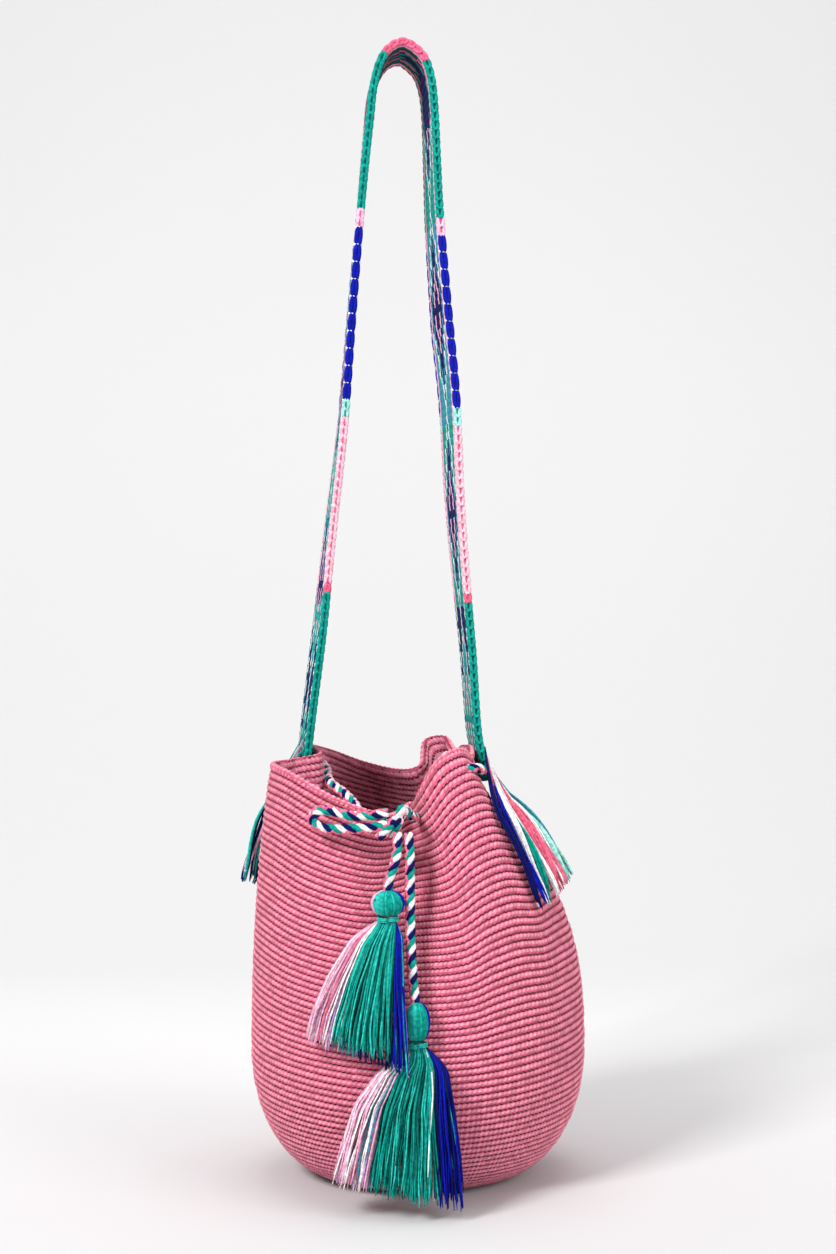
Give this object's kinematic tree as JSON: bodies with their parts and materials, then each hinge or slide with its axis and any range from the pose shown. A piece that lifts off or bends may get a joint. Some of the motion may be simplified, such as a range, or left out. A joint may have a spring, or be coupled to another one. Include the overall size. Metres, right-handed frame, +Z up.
{
  "type": "wayuu mochila bag",
  "caption": "Crocheted bucket bag with a round base, gathered drawstring mouth with yarn tassels, and a woven shoulder strap.",
  "frame": {"origin": "centre of the flat round base, on the ground", "axes": "+Z up, -Y towards the drawstring's knot and tassels, +X to the viewer's right of them"},
  "size_m": [0.244, 0.2698, 0.7981],
  "materials": {
    "rose_cotton": "matt crocheted cotton",
    "strap_weave": "matt woven cotton in several colours",
    "braid": "matt braided cotton in four colours",
    "teal_yarn": "soft sheen yarn",
    "aqua_yarn": "soft sheen yarn",
    "pink_yarn": "soft sheen yarn",
    "blue_yarn": "soft sheen yarn"
  },
  "bodies": {
    "bag": {"bag_body": "rose_cotton", "strap": "strap_weave", "strap_seam_left": "rose_cotton", "strap_seam_right": "rose_cotton", "fringe_left": "teal_yarn", "fringe_right": "teal_yarn", "drawstring": "braid", "drawstring_knot": "braid", "drawstring_bow": "braid"},
    "lower_tassel_tail": {"drawstring_tail_lower": "braid", "tassel_lower_head": "aqua_yarn", "tassel_lower_binding": "teal_yarn", "tassel_lower_skirt_pink": "pink_yarn", "tassel_lower_skirt_teal": "teal_yarn", "tassel_lower_skirt_blue": "blue_yarn"},
    "upper_tassel_tail": {"drawstring_tail_upper": "braid", "tassel_upper_head": "aqua_yarn", "tassel_upper_binding": "teal_yarn", "tassel_upper_skirt_pink": "pink_yarn", "tassel_upper_skirt_teal": "teal_yarn", "tassel_upper_skirt_blue": "blue_yarn"}
  },
  "joints": [
    {"name": "lower_tassel_swing", "type": "hinge", "parent": "bag", "child": "lower_tassel_tail", "pos_m": [-0.0064, -0.0905, 0.2448], "axis": [-1, 0, 0], "range_deg": [0, 60]},
    {"name": "upper_tassel_swing", "type": "hinge", "parent": "lower_tassel_tail", "child": "upper_tassel_tail", "pos_m": [-0.0135, -0.092, 0.2448], "axis": [-1, 0, 0], "range_deg": [0, 45]}
  ]
}
